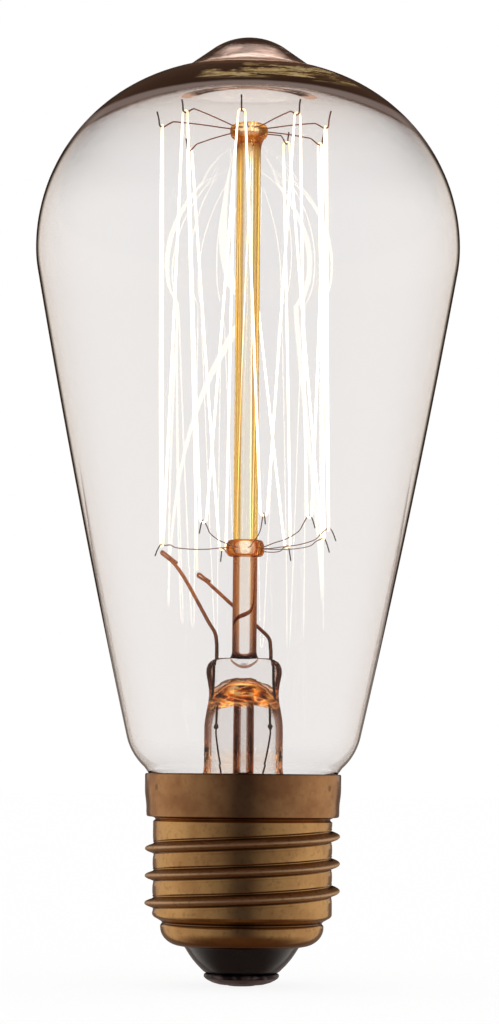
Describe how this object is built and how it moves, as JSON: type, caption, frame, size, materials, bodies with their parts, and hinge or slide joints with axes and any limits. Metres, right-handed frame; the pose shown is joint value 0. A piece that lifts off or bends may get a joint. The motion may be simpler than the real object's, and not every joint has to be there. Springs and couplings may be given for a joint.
{
  "type": "filament bulb",
  "caption": "Clear pear-shaped lamp with a tipped dome, a screw cap and a long zigzag filament hung between upper and lower wire hooks on a glass rod.",
  "frame": {"origin": "lowest point of the centre contact, on the lamp's axis", "axes": "+Z along the lamp's axis from the cap to the glass tip, -Y to the front and +X to the right"},
  "size_m": [0.058, 0.058, 0.1292],
  "materials": {
    "clear_glass": "clear, smooth, faintly warm",
    "amber_glass": "clear glass that glows amber from the filament",
    "copper": "coppered wire, satin",
    "weld": "dark weld knot",
    "tinned_wire": "thin tinned wire",
    "hook_wire": "dark molybdenum wire",
    "filament": "glowing",
    "cement": "matt",
    "brass": "aged, bright on the thread and browner on the collar",
    "black_glass": "opaque black, glossy",
    "contact_metal": "dull",
    "solder": "soft grey"
  },
  "bodies": {
    "root": {"glass_envelope": "clear_glass", "stem_flare": "clear_glass", "exhaust_tube": "clear_glass", "glass_rod": "amber_glass", "top_button": "amber_glass", "lower_bead": "amber_glass", "left_lead": "copper", "right_lead": "copper", "left_seal_wire": "copper", "right_seal_wire": "copper", "left_weld_bead": "weld", "right_weld_bead": "weld", "left_outer_lead": "tinned_wire", "right_outer_lead": "tinned_wire", "filament": "filament", "basing_cement": "cement", "cap_shell": "brass", "cap_insulator": "black_glass", "centre_contact": "contact_metal", "contact_solder": "solder", "rim_solder": "solder", "top_anchor_1": "hook_wire", "top_anchor_2": "hook_wire", "top_anchor_3": "hook_wire", "top_anchor_4": "hook_wire", "top_anchor_5": "hook_wire", "top_anchor_6": "hook_wire", "top_anchor_7": "hook_wire", "top_anchor_8": "hook_wire", "top_anchor_9": "hook_wire", "lower_anchor_1": "hook_wire", "lower_anchor_2": "hook_wire", "lower_anchor_3": "hook_wire", "lower_anchor_4": "hook_wire", "lower_anchor_5": "hook_wire", "lower_anchor_6": "hook_wire", "lower_anchor_7": "hook_wire", "lower_anchor_8": "hook_wire"}
  },
  "joints": []
}
